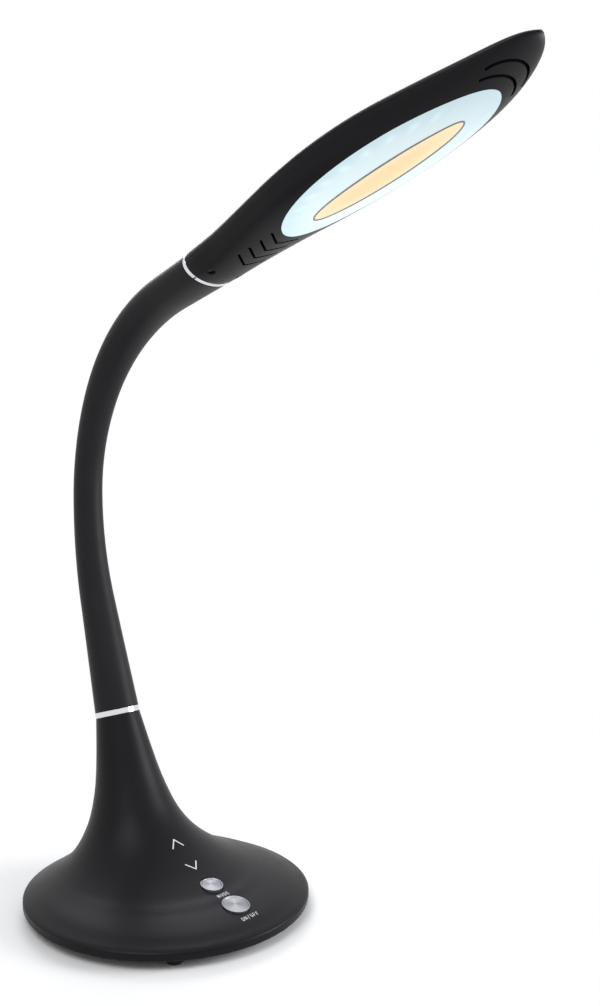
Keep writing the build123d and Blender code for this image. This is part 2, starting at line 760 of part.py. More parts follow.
with BuildPart() as neck_head_nut:
    with BuildSketch(head_plane.offset(HEAD_RING_WIDTH / 2 + BULKHEAD)):
        RegularPolygon(NUT_FLATS / 2, 6, major_radius=False)
        Circle(FERRULE_RADIUS + FERRULE_CLEARANCE / 2, mode=Mode.SUBTRACT)
    extrude(amount=NUT_HEIGHT)
finish(neck_head_nut, "neck_head_nut")

# ---------------------------------------------------------------- core links and their lead
for n, (here, there) in enumerate(zip(joint_centres, joint_centres[1:]), start=1):
    span = (there - here).length
    shoulder = span - LINK_STEM_LENGTH
    link_plane = Plane(origin=here, x_dir=(0, 1, 0), z_dir=there - here)
    with BuildPart() as link:
        with BuildSketch(profile_plane(link_plane)):
            with BuildLine():
                ThreePointArc(
                    (socket_radius, 0),
                    (socket_radius / sqrt(2), socket_radius / sqrt(2)),
                    (LINK_BORE, socket_roof),
                )
                Polyline(
                    (LINK_BORE, socket_roof),
                    (LINK_BORE, span),
                    (bore_mouth, span + BALL_TOP),
                    (ball_brim, span + BALL_TOP),
                )
                ThreePointArc(
                    (ball_brim, span + BALL_TOP),
                    (BALL_RADIUS, span),
                    (LINK_STEM_RADIUS, span - ball_waist),
                )
                Polyline(
                    (LINK_STEM_RADIUS, span - ball_waist),
                    (LINK_STEM_RADIUS, shoulder),
                    (LINK_RADIUS - LINK_CHAMFER, shoulder),
                    (LINK_RADIUS, shoulder - LINK_CHAMFER),
                    (LINK_RADIUS, 0),
                    (socket_radius, 0),
                )
            make_face()
        revolve(axis=Axis(here, link_plane.z_dir))
    finish(link, f"neck_link_{n}")
    with BuildPart() as lead:
        with BuildSketch(link_plane.offset(LEAD_GAP)):
            Circle(LEAD_RADIUS)
        extrude(amount=span - 2 * LEAD_GAP)
    finish(lead, f"neck_lead_{n}")

# ---------------------------------------------------------------- sleeve
sleeve_from = RING_WIDTH / 2
sleeve_to = NECK_LENGTH - HEAD_RING_WIDTH / 2
with BuildPart() as sleeve:
    for share, half_width, half_thickness in SLEEVE:
        place = sleeve_from + share * (sleeve_to - sleeve_from)
        with BuildSketch(neck_plane(place)):
            Ellipse(half_width, half_thickness)
    loft()
with BuildPart() as sleeve_bore:
    with BuildSketch(foot_plane):
        Circle(SLEEVE_BORE)
    sweep(path=neck)
with BuildPart() as sleeve_tube:
    add(sleeve.part)
    add(sleeve_bore.part, mode=Mode.SUBTRACT)

# The sleeve is one moulding. Each joint of the neck bends one stretch of it.
sleeve_cuts = [END_JOINT_REACH + (n + 0.5) * joint_pitch for n in range(JOINT_COUNT - 1)]
for n in range(JOINT_COUNT):
    with BuildPart() as stretch:
        add(sleeve_tube.part)
        if n > 0:
            split(bisect_by=neck_plane(sleeve_cuts[n - 1]), keep=Keep.TOP)
        if n < JOINT_COUNT - 1:
            split(bisect_by=neck_plane(sleeve_cuts[n]), keep=Keep.BOTTOM)
    finish(stretch, f"neck_sleeve_{n + 1}")

# ================================================================ head


def head_form(rows, wall, side):
    """The head's outside or inside, lofted through its ribs: one shell's part of it or both."""
    with BuildPart() as form:
        for reach, half_width, seam, low, high in rows:
            half = half_width - wall
            start = seam + (HEAD_SEAM if side == "high" else 0)
            with BuildSketch(head_plane.offset(reach)):
                with BuildLine():
                    if side != "high":
                        EllipticalCenterArc((0, seam), half, seam - low - wall, 180, arc_size=180)
                    if side != "low":
                        EllipticalCenterArc((0, start), half, high - start - wall, 0, arc_size=180)
                    if side != "both":
                        Line((-half, start), (half, start))
                make_face()
        loft()
    return form.part


hollow_start = HEAD_RING_WIDTH / 2 + BULKHEAD
hollow_end = HEAD_LENGTH - HEAD_CAVITY_END - HEAD_WALL
hollow_rows = [between(HEAD, hollow_start)]
hollow_rows += [row for row in HEAD if hollow_start < row[0] < hollow_end]
hollow_rows += [between(HEAD, hollow_end)]
hollow_rows = smoothed(hollow_rows, RIB_COUNT)
ribs = smoothed(HEAD, RIB_COUNT)
low_form = head_form(ribs, 0, "low")
high_form = head_form(ribs, 0, "high")
head_hollow = head_form(hollow_rows, HEAD_WALL, "both")


def lens_prism(half_length, half_width):
    """An elliptical prism down through the underside, in the plan of the head."""
    with BuildPart() as prism:
        with BuildSketch(head_plan):
            with Locations((LENS_CENTRE, 0)):
                Ellipse(half_length, half_width)
        extrude(amount=-LENS_REACH)
    return prism.part


rim_half_length = WARM_HALF_LENGTH + LENS_CLEARANCE + RIM_WIDTH
rim_half_width = WARM_HALF_WIDTH + LENS_CLEARANCE + RIM_WIDTH
led_ring_length = COOL_HALF_LENGTH - COOL_LED_INSET
led_ring_width = COOL_HALF_WIDTH - COOL_LED_INSET
# The LED board's screws stand midway between the ring of cool LEDs and the divider.
led_posts = [
    (LENS_CENTRE - (led_ring_length + rim_half_length) / 2, 0),
    (LENS_CENTRE + (led_ring_length + rim_half_length) / 2, 0),
    (LENS_CENTRE, (led_ring_width + rim_half_width) / 2),
    (LENS_CENTRE, -(led_ring_width + rim_half_width) / 2),
]
screw_places = [(HEAD_SCREW_U, HEAD_SCREW_Y), (HEAD_SCREW_U, -HEAD_SCREW_Y)]
root_row = between(HEAD, HEAD_SCREW_U)
seam_height = root_row[2]
seat_height = root_row[3] + HEAD_SCREW_SEAT

with BuildPart() as low_skin:
    add(low_form)
    add(head_hollow, mode=Mode.SUBTRACT)

with BuildPart() as head_lower_shell:
    with BuildSketch(head_plan.offset(root_row[3] - HEAD_POST_RADIUS)):
        with Locations(*screw_places):
            Circle(HEAD_POST_RADIUS)
    extrude(amount=seam_height - root_row[3] + HEAD_POST_RADIUS)
    add(low_form, mode=Mode.INTERSECT)
    add(low_skin.part)
    add(
        lens_prism(COOL_HALF_LENGTH + LENS_CLEARANCE, COOL_HALF_WIDTH + LENS_CLEARANCE),
        mode=Mode.SUBTRACT,
    )
    with BuildSketch(head_plan.offset(seat_height)):
        with Locations(*screw_places):
            Circle(HEAD_SCREW_HOLE)
    extrude(amount=-LENS_REACH, mode=Mode.SUBTRACT)
    with BuildSketch(head_plan.offset(seat_height)):
        with Locations(*screw_places):
            Circle(SCREW_RADIUS + SCREW_CLEARANCE)
    extrude(amount=LENS_REACH, mode=Mode.SUBTRACT)
    with BuildSketch(head_plan.offset(seam_height - HEAD_WALL)):
        for n in range(CHEVRON_COUNT):
            apex = CHEVRON_START + n * CHEVRON_PITCH
            with BuildLine():
                Polyline(
                    (apex + CHEVRON_REACH, CHEVRON_HALF_WIDTH),
                    (apex, 0),
                    (apex + CHEVRON_REACH, -CHEVRON_HALF_WIDTH),
                )
            trace(line_width=VENT_WIDTH)
    extrude(amount=-LENS_REACH, mode=Mode.SUBTRACT)
    with BuildSketch(head_plan.offset(TIP_VENT_ROOF)):
        for apex, ends, half_span in TIP_VENTS:
            with BuildLine():
                ThreePointArc(
                    (HEAD_LENGTH - ends, half_span),
                    (HEAD_LENGTH - apex, 0),
                    (HEAD_LENGTH - ends, -half_span),
                )
            trace(line_width=VENT_WIDTH)
    extrude(amount=-LENS_REACH, mode=Mode.SUBTRACT)
    with BuildSketch(head_plane.offset(HEAD_RING_WIDTH / 2)):
        Circle(FERRULE_RADIUS + FERRULE_CLEARANCE)
    extrude(amount=BULKHEAD, mode=Mode.SUBTRACT)
finish(head_lower_shell, "head_lower_shell")

board_high = LED_BOARD_HEIGHT + LED_BOARD_THICKNESS
with BuildPart() as head_upper_shell:
    with BuildSketch(head_plan.offset(board_high)):
        with Locations(*led_posts):
            Circle(POST_RADIUS)
    extrude(amount=LENS_REACH)
    with BuildSketch(head_plan.offset(seam_height)):
        with Locations(*screw_places):
            Circle(HEAD_POST_RADIUS)
    extrude(amount=LENS_REACH)
    with BuildPart(mode=Mode.PRIVATE) as high_inside:
        add(high_form)
        add(head_hollow)
    add(high_inside.part, mode=Mode.INTERSECT)
    with BuildPart(mode=Mode.PRIVATE) as high_skin:
        add(high_form)
        add(head_hollow, mode=Mode.SUBTRACT)
    add(high_skin.part)
    with BuildSketch(head_plan.offset(board_high)):
        with Locations(*led_posts):
            Circle(PILOT_RADIUS)
    extrude(amount=SCREW_BITE + PILOT_SPARE, mode=Mode.SUBTRACT)
    with BuildSketch(head_plan.offset(seam_height - HEAD_SEAM)):
        with Locations(*screw_places):
            Circle(PILOT_RADIUS)
    extrude(amount=HEAD_SCREW_BITE + PILOT_SPARE, mode=Mode.SUBTRACT)
    with BuildSketch(head_plane.offset(HEAD_RING_WIDTH / 2)):
        Circle(FERRULE_RADIUS + FERRULE_CLEARANCE)
    extrude(amount=BULKHEAD, mode=Mode.SUBTRACT)
finish(head_upper_shell, "head_upper_shell")

with BuildPart() as cool_diffuser:
    add(low_skin.part)
    add(lens_prism(COOL_HALF_LENGTH, COOL_HALF_WIDTH), mode=Mode.INTERSECT)
    add(
        lens_prism(rim_half_length + LENS_CLEARANCE, rim_half_width + LENS_CLEARANCE),
        mode=Mode.SUBTRACT,
    )
finish(cool_diffuser, "cool_diffuser")

with BuildPart() as warm_diffuser:
    add(low_skin.part)
    add(lens_prism(WARM_HALF_LENGTH, WARM_HALF_WIDTH), mode=Mode.INTERSECT)
finish(warm_diffuser, "warm_diffuser")

with BuildPart() as divider_rim:
    with BuildSketch(head_plan.offset(LED_BOARD_HEIGHT)):
        with Locations((LENS_CENTRE, 0)):
            Ellipse(rim_half_length, rim_half_width)
            Ellipse(
                rim_half_length - RIM_WIDTH,
                rim_half_width - RIM_WIDTH,
                mode=Mode.SUBTRACT,
            )
    extrude(amount=-LENS_REACH)
    add(low_form.moved(Location(head_up * -RIM_PROUD)), mode=Mode.INTERSECT)
finish(divider_rim, "divider_rim")

with BuildPart() as led_board:
    with BuildSketch(head_plan.offset(LED_BOARD_HEIGHT)):
        with Locations((LENS_CENTRE, 0)):
            Ellipse(COOL_HALF_LENGTH - LED_BOARD_MARGIN, COOL_HALF_WIDTH - LED_BOARD_MARGIN)
        with Locations(*led_posts):
            Circle(SCREW_RADIUS + SCREW_CLEARANCE, mode=Mode.SUBTRACT)
    extrude(amount=LED_BOARD_THICKNESS)
finish(led_board, "led_board")

with BuildPart() as led_board_screws:
    with BuildSketch(head_plan.offset(LED_BOARD_HEIGHT)):
        with Locations(*led_posts):
            Circle(SCREW_HEAD_RADIUS)
    extrude(amount=-SCREW_HEAD_HEIGHT)
    with BuildSketch(head_plan.offset(LED_BOARD_HEIGHT)):
        with Locations(*led_posts):
            Circle(SCREW_RADIUS)
    extrude(amount=LED_BOARD_THICKNESS + SCREW_BITE)
finish(led_board_screws, "led_board_screws")

with BuildLine() as led_ring:
    EllipticalCenterArc((LENS_CENTRE, 0), led_ring_length, led_ring_width, 0, arc_size=360)
led_ring_pitch = led_ring.wire().length / COOL_LED_COUNT
with BuildPart() as cool_leds:
    with BuildSketch(head_plan.offset(LED_BOARD_HEIGHT)):
        for n in range(COOL_LED_COUNT):
            spot = led_ring.wire().position_at((n + 0.5) * led_ring_pitch, PositionMode.LENGTH)
            with Locations((spot.X, spot.Y)):
                Rectangle(LED_SIZE[0], LED_SIZE[1])
    extrude(amount=-LED_SIZE[2])
finish(cool_leds, "cool_leds")

with BuildPart() as warm_leds:
    with BuildSketch(head_plan.offset(LED_BOARD_HEIGHT)):
        with Locations((LENS_CENTRE, 0)):
            with GridLocations(WARM_LED_PITCH, 2 * WARM_LED_ROW, WARM_LED_COUNT, 2):
                Rectangle(LED_SIZE[0], LED_SIZE[1])
    extrude(amount=-LED_SIZE[2])
finish(warm_leds, "warm_leds")

with BuildPart() as head_screws:
    with BuildSketch(head_plan.offset(seat_height)):
        with Locations(*screw_places):
            Circle(SCREW_HEAD_RADIUS)
    extrude(amount=-SCREW_HEAD_HEIGHT)
    with BuildSketch(head_plan.offset(seat_height)):
        with Locations(*screw_places):
            Circle(SCREW_RADIUS)
    extrude(amount=seam_height - seat_height + HEAD_SCREW_BITE)
finish(head_screws, "head_screws")

# ================================================================ leads
plug_face = board_top.offset(PLUG_HEIGHT / 2)


def plug_point(back, across):
    """A point behind the board's plug."""
    return plug_face.from_local_coords(Vector(-BOARD_BACK - back, across, 0))


# From the board's plug, up inside the trumpet and through the foot ferrule to the first ball.
below_mouth = foot_plane.offset(-RING_WIDTH / 2 - FERRULE_TAIL - NECK_LEAD_RUN).origin
first_ball = foot_plane.offset(END_JOINT_REACH - LEAD_GAP).origin
with BuildPart() as base_lead:
    with BuildLine() as base_route:
        FilletPolyline(
            plug_point(0, LEAD_SPREAD),
            plug_point(2 * LEAD_STUB, LEAD_SPREAD),
            below_mouth,
            first_ball,
            radius=NECK_LEAD_TURN,
        )
    with BuildSketch(Plane(origin=base_route.line @ 0, z_dir=base_route.line % 0)):
        Circle(LEAD_RADIUS)
    sweep()
finish(base_lead, "base_lead")

# From the jack, up over the edge of the ballast plate and forward to the board's plug.
over_ballast = plate_top + BALLAST_THICKNESS + 4 * LEAD_RADIUS
with BuildPart() as jack_lead:
    with BuildLine() as jack_route:
        FilletPolyline(
            (jack_tail, 0, jack_height),
            (jack_tail + BALLAST_GAP / 2, 0, jack_height),
            (-ballast_radius, 0, over_ballast),
            plug_point(2 * LEAD_STUB, -LEAD_SPREAD),
            plug_point(0, -LEAD_SPREAD),
            radius=LEAD_TURN,
        )
    with BuildSketch(Plane(origin=jack_route.line @ 0, z_dir=jack_route.line % 0)):
        Circle(LEAD_RADIUS)
    sweep()
finish(jack_lead, "jack_lead")

# From the last socket, through the head ferrule, to the root end of the LED board.
last_socket = head_plane.offset(-END_JOINT_REACH + LEAD_GAP)
board_root = LENS_CENTRE - COOL_HALF_LENGTH + LED_BOARD_MARGIN
board_face = head_plan.from_local_coords(
    Vector(board_root, 0, LED_BOARD_HEIGHT + LED_BOARD_THICKNESS / 2)
)
with BuildPart() as head_lead:
    with BuildLine() as head_route:
        FilletPolyline(
            last_socket.origin,
            head_plane.offset(FERRULE_TAIL + 2 * LEAD_STUB).origin,
            board_face,
            radius=HEAD_LEAD_TURN,
        )
    with BuildSketch(Plane(origin=head_route.line @ 0, z_dir=head_route.line % 0)):
        Circle(LEAD_RADIUS)
    sweep()
finish(head_lead, "head_lead")

print(len(kept), "pieces; neck", round(NECK_LENGTH, 1), "mm")
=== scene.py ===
import math

import bmesh
import bpy
from mathutils import Matrix, Vector
from mathutils.bvhtree import BVHTree


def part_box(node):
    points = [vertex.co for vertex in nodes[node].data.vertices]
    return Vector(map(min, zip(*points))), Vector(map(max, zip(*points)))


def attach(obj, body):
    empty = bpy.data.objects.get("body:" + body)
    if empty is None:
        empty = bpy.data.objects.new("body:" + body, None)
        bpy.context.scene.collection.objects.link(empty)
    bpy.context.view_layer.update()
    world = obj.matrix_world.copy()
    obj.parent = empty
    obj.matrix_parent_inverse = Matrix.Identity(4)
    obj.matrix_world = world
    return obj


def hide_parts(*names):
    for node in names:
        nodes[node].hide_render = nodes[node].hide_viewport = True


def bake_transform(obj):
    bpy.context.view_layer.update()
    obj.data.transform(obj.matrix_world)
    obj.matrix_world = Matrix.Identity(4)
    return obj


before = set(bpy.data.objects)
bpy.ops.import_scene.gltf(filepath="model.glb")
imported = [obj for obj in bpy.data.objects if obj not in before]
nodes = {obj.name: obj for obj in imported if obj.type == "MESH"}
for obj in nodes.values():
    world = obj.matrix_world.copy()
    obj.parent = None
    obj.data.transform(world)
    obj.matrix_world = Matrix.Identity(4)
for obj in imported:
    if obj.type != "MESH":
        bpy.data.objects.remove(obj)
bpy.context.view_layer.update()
MM = 0.001

# ---------------------------------------------------------------------------------------
# Base shell: the trumpet-shaped top of the base and its flat closing plate.
# Injection-moulded ABS with a fine, soft satin coat in black. The plate is screwed up into
# the shell from below and leaves a hairline near the bottom of the rim.

SOFT_BLACK = "#121214"
SOFT_BLACK_CLOUD = "#161619"


def linear(code):
    """Linear colour from an sRGB hex code."""
    values = [int(code[i:i + 2], 16) / 255 for i in (1, 3, 5)]
    spread = [v / 12.92 if v <= 0.04045 else ((v + 0.055) / 1.055) ** 2.4 for v in values]
    return (*spread, 1.0)


def finish_of(name, code, roughness, metallic=0.0, ior=1.5, specular=0.5):
    """A material with its plain values set, and the parts needed to build on it."""
    material = bpy.data.materials.new(name)
    material.use_nodes = True
    tree = material.node_tree
    shader = tree.nodes["Principled BSDF"]
    shader.inputs["Base Color"].default_value = linear(code)
    shader.inputs["Roughness"].default_value = roughness
    shader.inputs["Metallic"].default_value = metallic
    shader.inputs["IOR"].default_value = ior
    shader.inputs["Specular IOR Level"].default_value = specular
    place = tree.nodes.new("ShaderNodeTexCoord")
    return material, tree, shader, place.outputs["Object"]


def noise(tree, where, size_mm, detail=2.0, rough=0.5):
    """Noise whose blobs are about size_mm across."""
    texture = tree.nodes.new("ShaderNodeTexNoise")
    texture.inputs["Scale"].default_value = 1 / (size_mm * MM)
    texture.inputs["Detail"].default_value = detail
    texture.inputs["Roughness"].default_value = rough
    tree.links.new(where, texture.inputs["Vector"])
    return texture.outputs["Fac"]


def spread(tree, value, low, high):
    """Maps a 0 to 1 value between two limits."""
    remap = tree.nodes.new("ShaderNodeMapRange")
    remap.inputs["To Min"].default_value = low
    remap.inputs["To Max"].default_value = high
    tree.links.new(value, remap.inputs["Value"])
    return remap.outputs["Result"]


def tint(tree, value, first, second):
    """Colour that runs between two hex codes with a value."""
    mix = tree.nodes.new("ShaderNodeMix")
    mix.data_type = "RGBA"
    mix.inputs["A"].default_value = linear(first)
    mix.inputs["B"].default_value = linear(second)
    tree.links.new(value, mix.inputs["Factor"])
    return mix.outputs["Result"]


def emboss(tree, shader, height, depth_mm, strength=1.0):
    """Bumps a shader with a height from 0 to 1."""
    bump = tree.nodes.new("ShaderNodeBump")
    bump.inputs["Distance"].default_value = depth_mm * MM
    bump.inputs["Strength"].default_value = strength
    tree.links.new(height, bump.inputs["Height"])
    tree.links.new(bump.outputs["Normal"], shader.inputs["Normal"])


def dress(material, *names):
    """Gives CAD nodes a material."""
    for name in names:
        node = nodes[name]
        node.data.materials.clear()
        node.data.materials.append(material)


def vary(tree, shader, value, low, high):
    """Lets a 0 to 1 value move a shader's roughness between two limits."""
    tree.links.new(spread(tree, value, low, high), shader.inputs["Roughness"])


def colour(tree, shader, value, first, second):
    """Lets a value move a shader's colour between two hex codes."""
    tree.links.new(tint(tree, value, first, second), shader.inputs["Base Color"])


def moulded_black(name, roughness=0.4):
    """Black moulded plastic: a fine spark-eroded grain under a soft coat."""
    material, tree, shader, where = finish_of(name, SOFT_BLACK, roughness, specular=0.12)
    colour(tree, shader, noise(tree, where, 38, 3), SOFT_BLACK, SOFT_BLACK_CLOUD)
    grain = noise(tree, where, 0.35, 2)
    vary(tree, shader, noise(tree, where, 14, 4), roughness - 0.04, roughness + 0.05)
    emboss(tree, shader, grain, 0.02, 0.35)
    return material


# real material: soft-touch coated ABS
dress(moulded_black("soft_touch_abs"), "base_shell", "base_plate")

# ---------------------------------------------------------------------------------------
# Head shells: two mouldings of the same coated ABS, joined along the widest line of the
# leaf. The upper one carries the electronics; the lower one has the vents and the lens
# opening, and is held at the root by two screws.

# real material: soft-touch coated ABS
dress(moulded_black("head_abs", roughness=0.36), "head_upper_shell", "head_lower_shell")

# ---------------------------------------------------------------------------------------
# Sleeve: one soft rubber moulding drawn over the gooseneck, round at the base and flattened
# where it meets the head. It is cut here at the middle of each core link, one stretch for
# each joint.

NECK_FOOT = (-52.8, 112.5)
NECK_LEAN = math.radians(-17.0)
LOWER_RUN = 74.8
BENDS = ((252.0, 16.3), (146.0, 26.6), (120.5, 45.6))
UPPER_RUN = 37.0
RING_WIDTH = 3.4
HEAD_RING_WIDTH = 2.4
END_REACH = 22.0
JOINTS = 9
# Half-width and half-thickness at even steps from the lower ring to the upper one.
SLEEVE = (
    (14.3, 14.3),
    (12.8, 12.8),
    (11.4, 11.4),
    (10.3, 10.3),
    (9.7, 9.6),
    (9.7, 9.5),
    (10.7, 9.8),
    (12.5, 10.2),
    (14.8, 10.5),
    (17.3, 10.7),
    (19.4, 10.8),
)
ROUND_STEPS = 96
ALONG_STEPS = 28
BLEND_INSET = 4.5
# How far the closed ends of the sleeve turn in behind the trim rings.
FOOT_TURN_IN = 6.0
HEAD_TURN_IN = 3.0

neck_length = LOWER_RUN + UPPER_RUN + sum(r * math.radians(a) for r, a in BENDS)


def neck_at(distance):
    """Point on the neck's centreline, its direction and the in-plane normal, in mm."""
    x, z, lean = NECK_FOOT[0], NECK_FOOT[1], NECK_LEAN
    left = distance
    for radius, angle in ((None, LOWER_RUN), *BENDS, (None, UPPER_RUN)):
        if radius is None:
            last = angle == UPPER_RUN
            step = left if last else min(left, angle)
            x += math.sin(lean) * step
            z += math.cos(lean) * step
            done = left <= angle
            left -= step
        else:
            run = radius * math.radians(angle)
            turn = min(left, run) / radius
            x += radius * (math.cos(lean) - math.cos(lean + turn))
            z += radius * (math.sin(lean + turn) - math.sin(lean))
            lean += turn
            done = left <= run
            left -= min(left, run)
        if done:
            break
    along = Vector((math.sin(lean), 0, math.cos(lean)))
    normal = Vector((-math.cos(lean), 0, math.sin(lean)))
    return Vector((x, 0, z)), along, normal


def curve_through(values, share):
    """Smooth value at a share of a row of evenly spaced values."""
    spot = min(max(share, 0), 1) * (len(values) - 1)
    index = min(int(spot), len(values) - 2)
    t = spot - index
    a = values[max(index - 1, 0)]
    b, c = values[index], values[index + 1]
    d = values[min(index + 2, len(values) - 1)]
    before, after = (c - a) / 2, (d - b) / 2
    if index == 0:
        before = c - b
    if index == len(values) - 2:
        after = c - b
    return (
        (2 * t**3 - 3 * t**2 + 1) * b + (t**3 - 2 * t**2 + t) * before
        + (3 * t**2 - 2 * t**3) * c + (t**3 - t**2) * after
    )


def sleeve_ring(distance, inset=0.0):
    """One ring of the sleeve's skin, in metres."""
    centre, _, normal = neck_at(distance)
    low = RING_WIDTH / 2
    share = (distance - low) / (neck_length - (RING_WIDTH + HEAD_RING_WIDTH) / 2)
    wide = curve_through([row[0] for row in SLEEVE], share) - inset
    thick = curve_through([row[1] for row in SLEEVE], share) - inset
    ring = []
    for step in range(ROUND_STEPS):
        turn = 2 * math.pi * step / ROUND_STEPS
        side = Vector((0, 1, 0)) * (wide * math.cos(turn))
        ring.append((centre + side + normal * (thick * math.sin(turn))) * MM)
    return ring


def piece_of(name, mesh, material):
    """A new piece from a finished bmesh, placed at the origin."""
    data = bpy.data.meshes.new(name)
    mesh.to_mesh(data)
    mesh.free()
    data.materials.append(material)
    piece = bpy.data.objects.new(name, data)
    bpy.context.scene.collection.objects.link(piece)
    return piece


def skin(name, rings, material):
    """A smooth skin through rings of the same number of points."""
    mesh = bmesh.new()
    made = [[mesh.verts.new(point) for point in ring] for ring in rings]
    count = len(rings[0])
    for lower, upper in zip(made, made[1:]):
        for step in range(count):
            after = (step + 1) % count
            mesh.faces.new((lower[after], upper[after], upper[step], lower[step]))
    for face in mesh.faces:
        face.smooth = True
    return piece_of(name, mesh, material)


# real material: silicone rubber, smooth satin
sleeve_rubber, tree, shader, where = finish_of(
    "silicone_rubber", "#1c1c1e", 0.46, ior=1.45, specular=0.14
)
colour(tree, shader, noise(tree, where, 22, 3), "#1b1b1d", "#212123")
vary(tree, shader, noise(tree, where, 9, 4), 0.43, 0.52)
emboss(tree, shader, noise(tree, where, 0.5, 2), 0.02, 0.3)
shader.inputs["Sheen Weight"].default_value = 0.05
shader.inputs["Sheen Roughness"].default_value = 0.4

joint_pitch = (neck_length - 2 * END_REACH) / (JOINTS - 1)
neck_bodies = ["base"] + [f"link_{n}" for n in range(1, JOINTS)] + ["head"]
for n in range(JOINTS):
    joint = END_REACH + n * joint_pitch
    first, last = n == 0, n == JOINTS - 1
    low = RING_WIDTH / 2 if first else joint - joint_pitch / 2
    high = neck_length - HEAD_RING_WIDTH / 2 if last else joint + joint_pitch / 2
    rings = [sleeve_ring(low + (high - low) * k / ALONG_STEPS) for k in range(ALONG_STEPS + 1)]
    if first:
        rings.insert(0, sleeve_ring(low, FOOT_TURN_IN))
    if last:
        rings.append(sleeve_ring(high, HEAD_TURN_IN))
    stretch = skin(f"sleeve_{n + 1}", rings, sleeve_rubber)
    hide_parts(f"neck_sleeve_{n + 1}")
    start, _, _ = neck_at(max(low, joint - joint_pitch / 2) + BLEND_INSET)
    end, _, _ = neck_at(min(high, joint + joint_pitch / 2) - BLEND_INSET)
    # The bodies on either side of this stretch, the base's side first.
    near, far = neck_bodies[n:n + 2]
    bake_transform(stretch)

# ---------------------------------------------------------------------------------------
# Trim rings: two turned brass bands, polished and chrome plated. The lower one is round and
# closes the top of the trumpet; the upper one is oval and closes the root of the head.

# real material: chrome plate on brass
chrome, tree, shader, where = finish_of("chrome_plate", "#dcdde0", 0.09, metallic=1.0)
vary(tree, shader, noise(tree, where, 6, 3), 0.06, 0.14)
emboss(tree, shader, noise(tree, where, 3.0, 2), 0.01, 0.2)
dress(chrome, "lower_trim_ring", "upper_trim_ring")

# ---------------------------------------------------------------------------------------
# Push buttons: two pressed aluminium caps with spun, slightly dished faces and bright cut
# edges, each on a moulded plunger that works a small switch under it.

# Dark and bright ends of the keys' colour; most of the run between them is painted sheen.
KEY_DARK = "#6a6a6e"
KEY_BRIGHT = "#a0a0a4"
KEY_MARK_PITCH = 0.22
KEY_SHEEN_TURN = 1.2


def combine(tree, operation, *values):
    """Arithmetic on values, each a socket or a number."""
    sum_node = tree.nodes.new("ShaderNodeMath")
    sum_node.operation = operation
    for socket, value in zip(sum_node.inputs, values):
        if isinstance(value, (int, float)):
            socket.default_value = value
        else:
            tree.links.new(value, socket)
    return sum_node.outputs["Value"]


def vector_step(tree, operation, value, other=None):
    """Arithmetic on a vector socket, with a fixed second vector where it needs one."""
    step = tree.nodes.new("ShaderNodeVectorMath")
    step.operation = operation
    tree.links.new(value, step.inputs[0])
    if other is not None:
        step.inputs[1].default_value = other
    return step.outputs["Value" if operation in ("LENGTH", "DOT_PRODUCT") else "Vector"]


def spun_metal(name, centre):
    """Aluminium with fine turning marks about an upright axis through a centre, in metres,
    and painted sheen: two bright and two dark fans painted into its colour by angle.
    """
    material, tree, shader, where = finish_of(name, KEY_DARK, 0.42, metallic=1.0)
    from_centre = vector_step(tree, "SUBTRACT", where, centre)
    marks = tree.nodes.new("ShaderNodeTexNoise")
    marks.noise_dimensions = "1D"
    marks.inputs["Scale"].default_value = 1 / (KEY_MARK_PITCH * MM)
    marks.inputs["Detail"].default_value = 3
    tree.links.new(vector_step(tree, "LENGTH", from_centre), marks.inputs["W"])
    grooves = marks.outputs["Fac"]
    vary(tree, shader, grooves, 0.36, 0.5)
    split = tree.nodes.new("ShaderNodeSeparateXYZ")
    tree.links.new(from_centre, split.inputs[0])
    turn = combine(tree, "ARCTAN2", split.outputs["Y"], split.outputs["X"])
    # Painted sheen: two bright and two dark fans painted into the colour by angle round the
    # centre, in place of the highlights that turned faces catch.
    painted_fans = combine(tree, "COSINE", combine(tree, "MULTIPLY_ADD", turn, 2, KEY_SHEEN_TURN))
    sheen = combine(tree, "MULTIPLY_ADD", painted_fans, 0.5, 0.5)
    # The colour follows the painted sheen for 70 per cent and the real turning marks for 30 per
    # cent.
    painted_sheen_and_marks = combine(tree, "MULTIPLY_ADD", sheen, 0.7, combine(tree, "MULTIPLY", grooves, 0.3))
    colour(tree, shader, painted_sheen_and_marks, KEY_DARK, KEY_BRIGHT)
    emboss(tree, shader, grooves, 0.03, 0.5)
    return material


for name in ("mode_button", "power_button"):
    low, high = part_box(name)
    middle = tuple((a + b) / 2 for a, b in zip(low, high))
    # real material: spun and lacquered aluminium
    dress(spun_metal(f"{name}_aluminium", middle), name)

# real material: acetal
acetal, tree, shader, where = finish_of("acetal", "#26272a", 0.4)
vary(tree, shader, noise(tree, where, 2.5), 0.34, 0.48)
emboss(tree, shader, noise(tree, where, 0.4), 0.02, 0.3)
dress(acetal, "mode_plunger", "power_plunger", "tact_switches", "board_components", "dc_jack")

# ---------------------------------------------------------------------------------------
# Brightness marks and words: two V-shaped marks in silver, let into the skin above and below
# the dimming area, and the plain words MODE and ON/OFF, pad-printed in white under the keys.

# real material: hot-foiled silver
foil, tree, shader, where = finish_of("silver_foil", "#dadadd", 0.34, metallic=0.6)
vary(tree, shader, noise(tree, where, 0.8), 0.28, 0.42)
dress(foil, "up_mark", "down_mark")

# real material: pad-printing ink
ink, tree, shader, where = finish_of("white_print", "#f4f4f6", 0.55)
colour(tree, shader, noise(tree, where, 0.4), "#eeeef0", "#fafafc")

PRINT_LIFT = 0.04
PRINT_LINE = 0.24
LETTER_WIDE = 1.25
LETTER_TALL = 2.5
LETTER_PITCH = 2.3
BOWL_STEPS = 16
ABOVE_BASE = 0.1
